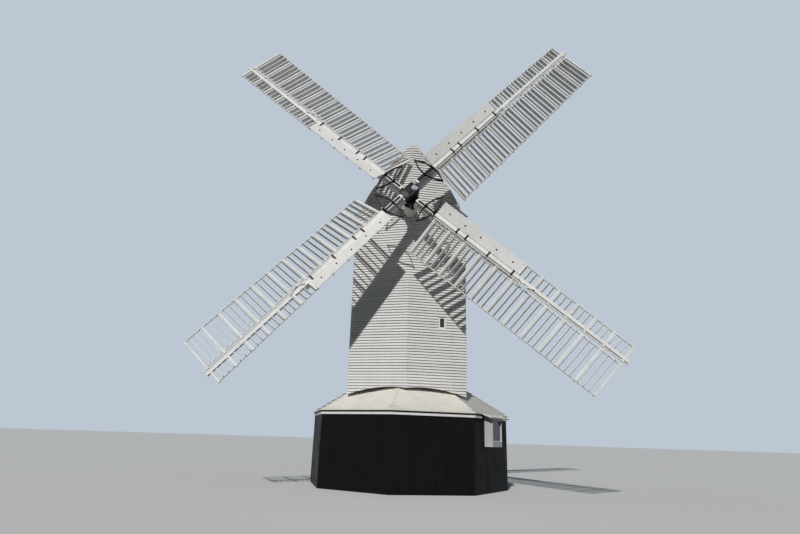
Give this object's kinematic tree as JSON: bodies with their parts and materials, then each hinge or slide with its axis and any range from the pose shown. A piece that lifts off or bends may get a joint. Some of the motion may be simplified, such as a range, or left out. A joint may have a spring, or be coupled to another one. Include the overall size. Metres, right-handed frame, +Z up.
{
  "type": "traditional windmill",
  "caption": "White weatherboarded post mill on a black octagonal roundhouse; the timber body turns on its post and the spring sails turn on an inclined windshaft.",
  "frame": {"origin": "on the axis of the main post, at ground level under the roundhouse", "axes": "+Z up along the main post, -Y towards the sails at rest, +X to the right seen from the front"},
  "size_m": [14.2478, 14.3701, 17.1174],
  "materials": {
    "white_boards": "painted weatherboards",
    "cream_boards": "painted roof boards, weathered",
    "black_boards": "tarred",
    "grey_white_paint": "painted",
    "white_timber": "painted, a little weathered",
    "oak": "bare, aged",
    "tarred_brick": "tarred",
    "brick": "bare",
    "paving": "bare",
    "black_iron": "black paint",
    "window_glass": "clear"
  },
  "bodies": {
    "roundhouse": {"roundhouse_walls": "tarred_brick", "roundhouse_window_walls": "tarred_brick", "roundhouse_door_wall": "tarred_brick", "roundhouse_floor": "paving", "roundhouse_roof": "cream_boards", "eaves_fascia": "white_boards", "roundhouse_window_boxes": "grey_white_paint", "roundhouse_window_glass": "window_glass", "window_canopies": "cream_boards", "roundhouse_door_frame": "black_boards", "roundhouse_door": "black_boards", "brick_piers": "brick", "crosstrees": "oak", "quarterbars": "oak", "main_post": "oak"},
    "buck": {"breast_left": "white_boards", "breast_right": "white_boards", "side_wall_left": "white_boards", "side_wall_right": "white_boards", "tail_wall": "white_boards", "roof_left": "white_boards", "roof_right": "white_boards", "breast_window_frame": "white_boards", "breast_window_glass": "window_glass", "lower_floor": "oak", "sheers": "oak", "crown_tree": "oak", "side_girts": "oak", "tail_door_frame": "white_boards", "tail_door": "white_boards", "tail_platform": "white_timber", "ladder_strings": "white_timber", "ladder_treads": "white_timber", "handrails": "white_timber", "tail_pole": "white_timber", "shaft_beams": "oak", "shaft_bearings": "black_iron"},
    "sails": {"windshaft": "oak", "shaft_nose": "white_timber", "iron_neck": "black_iron", "poll_end": "black_iron", "wedges": "white_timber", "front_stock": "white_timber", "rear_stock": "white_timber", "whips": "white_timber", "leading_boards": "white_timber", "springs": "black_iron", "shutter_rods": "white_timber", "sail_lattice_1": "white_timber", "sail_shutters_1": "white_timber", "sail_lattice_2": "white_timber", "sail_shutters_2": "white_timber", "sail_lattice_3": "white_timber", "sail_shutters_3": "white_timber", "sail_lattice_4": "white_timber", "sail_shutters_4": "white_timber"}
  },
  "joints": [
    {"name": "wind_turn", "type": "hinge", "parent": "roundhouse", "child": "buck", "pos_m": [0, 0, 6.38], "axis": [0, 0, 1], "continuous": true},
    {"name": "sail_turn", "type": "hinge", "parent": "buck", "child": "sails", "pos_m": [0, -3.856, 10.085], "axis": [0, -0.9891, 0.1469], "continuous": true}
  ]
}
